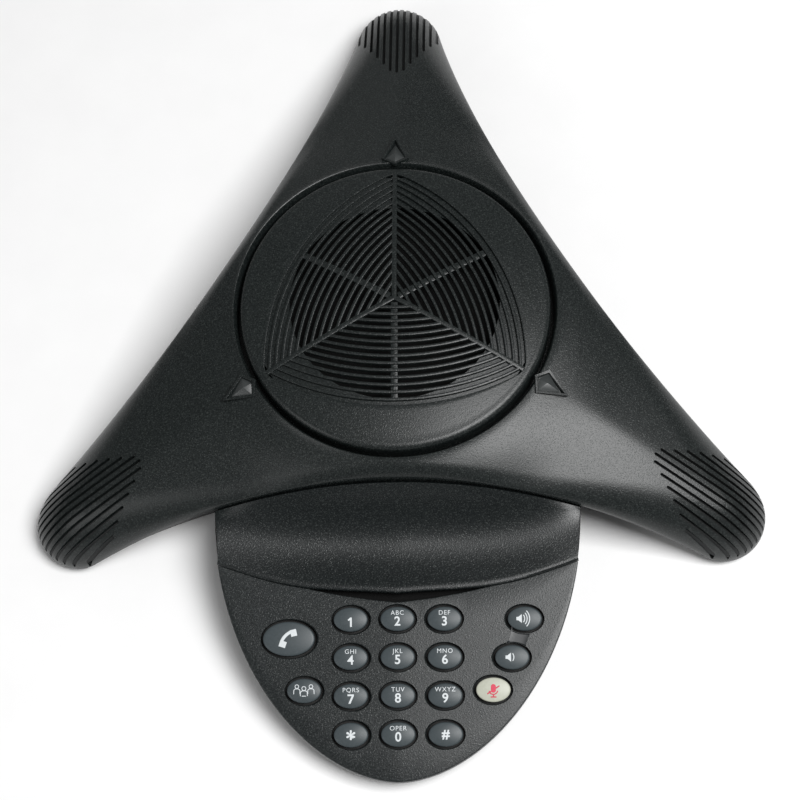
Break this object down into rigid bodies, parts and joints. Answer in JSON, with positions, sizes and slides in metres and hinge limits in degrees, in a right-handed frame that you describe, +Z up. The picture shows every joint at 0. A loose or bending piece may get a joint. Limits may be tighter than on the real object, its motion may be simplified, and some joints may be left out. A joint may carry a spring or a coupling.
{
  "type": "conference speakerphone",
  "caption": "Three-armed tabletop conference phone with a domed round speaker grille, microphone slots on the arm noses and a sloping keypad tongue.",
  "frame": {"origin": "on the table, under the middle of the object's plan box; the speaker axis is 7.4 mm behind it", "axes": "+Y towards the rear arm, -Y towards the keypad tongue, +X to the right as the user sees it, +Z up"},
  "size_m": [0.311, 0.368, 0.064],
  "materials": {
    "upper_housing": "fine sparkle texture, charcoal",
    "keypad_plastic": "fine sparkle texture, charcoal",
    "dish_plastic": "fine texture, dark charcoal",
    "lower_housing": "fine texture, black",
    "key": "satin, slate grey",
    "mute_key": "satin, cream",
    "lens": "smoked, polished facets",
    "black_rubber": "matt",
    "circuit_board": "solder mask",
    "pressed_steel": "plain",
    "ferrite": "sintered",
    "speaker_paper": "pressed paper, black",
    "acoustic_cloth": "fine woven, black",
    "copper_wire": "enamelled copper",
    "black_plastic": "moulded",
    "silicone": "translucent grey",
    "emitter": "clear"
  },
  "bodies": {
    "housing": {"base_shell": "lower_housing", "tongue_base": "lower_housing", "top_shell": "upper_housing", "dish_panel": "dish_plastic", "keypad_panel": "keypad_plastic", "keymat": "silicone", "keypad_board": "circuit_board", "speaker_cover": "upper_housing", "speaker_basket": "pressed_steel", "speaker_top_plate": "pressed_steel", "speaker_magnet": "ferrite", "speaker_yoke": "pressed_steel", "speaker_gasket": "black_rubber", "speaker_surround": "black_rubber", "speaker_cloth": "acoustic_cloth", "main_board": "circuit_board", "signal_chip": "black_plastic", "ribbon_cable": "black_plastic", "line_jack": "black_plastic", "foot_front": "black_rubber", "screw_front": "pressed_steel", "light_pipe_rear": "lens", "led_rear": "emitter", "mic_boot_rear": "black_rubber", "mic_capsule_rear": "pressed_steel", "foot_rear": "black_rubber", "screw_rear": "pressed_steel", "light_pipe_left": "lens", "led_left": "emitter", "mic_boot_left": "black_rubber", "mic_capsule_left": "pressed_steel", "foot_left": "black_rubber", "screw_left": "pressed_steel", "light_pipe_right": "lens", "led_right": "emitter", "mic_boot_right": "black_rubber", "mic_capsule_right": "pressed_steel", "foot_right": "black_rubber", "screw_right": "pressed_steel"},
    "key_1_cap": {"key_1": "key"},
    "key_2_cap": {"key_2": "key"},
    "key_3_cap": {"key_3": "key"},
    "key_4_cap": {"key_4": "key"},
    "key_5_cap": {"key_5": "key"},
    "key_6_cap": {"key_6": "key"},
    "key_7_cap": {"key_7": "key"},
    "key_8_cap": {"key_8": "key"},
    "key_9_cap": {"key_9": "key"},
    "key_star_cap": {"key_star": "key"},
    "key_0_cap": {"key_0": "key"},
    "key_hash_cap": {"key_hash": "key"},
    "key_phone_cap": {"key_phone": "key"},
    "key_conference_cap": {"key_conference": "key"},
    "key_volume_up_cap": {"key_volume_up": "key"},
    "key_volume_down_cap": {"key_volume_down": "key"},
    "key_mute_cap": {"key_mute": "mute_key"},
    "cone": {"speaker_cone": "speaker_paper", "voice_coil": "copper_wire", "dust_cap": "speaker_paper"}
  },
  "joints": [
    {"name": "key_1_press", "type": "slide", "parent": "housing", "child": "key_1_cap", "axis": [0, 0.2011, -0.9796], "range_m": [0, 0.0012], "stiffness_N_per_m": 600, "springref_m": -0.0008},
    {"name": "key_2_press", "type": "slide", "parent": "housing", "child": "key_2_cap", "axis": [0, 0.2011, -0.9796], "range_m": [0, 0.0012], "stiffness_N_per_m": 600, "springref_m": -0.0008},
    {"name": "key_3_press", "type": "slide", "parent": "housing", "child": "key_3_cap", "axis": [0, 0.2011, -0.9796], "range_m": [0, 0.0012], "stiffness_N_per_m": 600, "springref_m": -0.0008},
    {"name": "key_4_press", "type": "slide", "parent": "housing", "child": "key_4_cap", "axis": [0, 0.2011, -0.9796], "range_m": [0, 0.0012], "stiffness_N_per_m": 600, "springref_m": -0.0008},
    {"name": "key_5_press", "type": "slide", "parent": "housing", "child": "key_5_cap", "axis": [0, 0.2011, -0.9796], "range_m": [0, 0.0012], "stiffness_N_per_m": 600, "springref_m": -0.0008},
    {"name": "key_6_press", "type": "slide", "parent": "housing", "child": "key_6_cap", "axis": [0, 0.2011, -0.9796], "range_m": [0, 0.0012], "stiffness_N_per_m": 600, "springref_m": -0.0008},
    {"name": "key_7_press", "type": "slide", "parent": "housing", "child": "key_7_cap", "axis": [0, 0.2011, -0.9796], "range_m": [0, 0.0012], "stiffness_N_per_m": 600, "springref_m": -0.0008},
    {"name": "key_8_press", "type": "slide", "parent": "housing", "child": "key_8_cap", "axis": [0, 0.2011, -0.9796], "range_m": [0, 0.0012], "stiffness_N_per_m": 600, "springref_m": -0.0008},
    {"name": "key_9_press", "type": "slide", "parent": "housing", "child": "key_9_cap", "axis": [0, 0.2011, -0.9796], "range_m": [0, 0.0012], "stiffness_N_per_m": 600, "springref_m": -0.0008},
    {"name": "key_star_press", "type": "slide", "parent": "housing", "child": "key_star_cap", "axis": [0, 0.2011, -0.9796], "range_m": [0, 0.0012], "stiffness_N_per_m": 600, "springref_m": -0.0008},
    {"name": "key_0_press", "type": "slide", "parent": "housing", "child": "key_0_cap", "axis": [0, 0.2011, -0.9796], "range_m": [0, 0.0012], "stiffness_N_per_m": 600, "springref_m": -0.0008},
    {"name": "key_hash_press", "type": "slide", "parent": "housing", "child": "key_hash_cap", "axis": [0, 0.2011, -0.9796], "range_m": [0, 0.0012], "stiffness_N_per_m": 600, "springref_m": -0.0008},
    {"name": "key_phone_press", "type": "slide", "parent": "housing", "child": "key_phone_cap", "axis": [0, 0.2011, -0.9796], "range_m": [0, 0.0012], "stiffness_N_per_m": 600, "springref_m": -0.0008},
    {"name": "key_conference_press", "type": "slide", "parent": "housing", "child": "key_conference_cap", "axis": [0, 0.2011, -0.9796], "range_m": [0, 0.0012], "stiffness_N_per_m": 600, "springref_m": -0.0008},
    {"name": "key_volume_up_press", "type": "slide", "parent": "housing", "child": "key_volume_up_cap", "axis": [0, 0.2011, -0.9796], "range_m": [0, 0.0012], "stiffness_N_per_m": 600, "springref_m": -0.0008},
    {"name": "key_volume_down_press", "type": "slide", "parent": "housing", "child": "key_volume_down_cap", "axis": [0, 0.2011, -0.9796], "range_m": [0, 0.0012], "stiffness_N_per_m": 600, "springref_m": -0.0008},
    {"name": "key_mute_press", "type": "slide", "parent": "housing", "child": "key_mute_cap", "axis": [0, 0.2011, -0.9796], "range_m": [0, 0.0012], "stiffness_N_per_m": 600, "springref_m": -0.0008},
    {"name": "cone_stroke", "type": "slide", "parent": "housing", "child": "cone", "axis": [0, 0, 1], "range_m": [-0.001, 0.001], "stiffness_N_per_m": 1000, "deforming": ["speaker_surround"]}
  ]
}
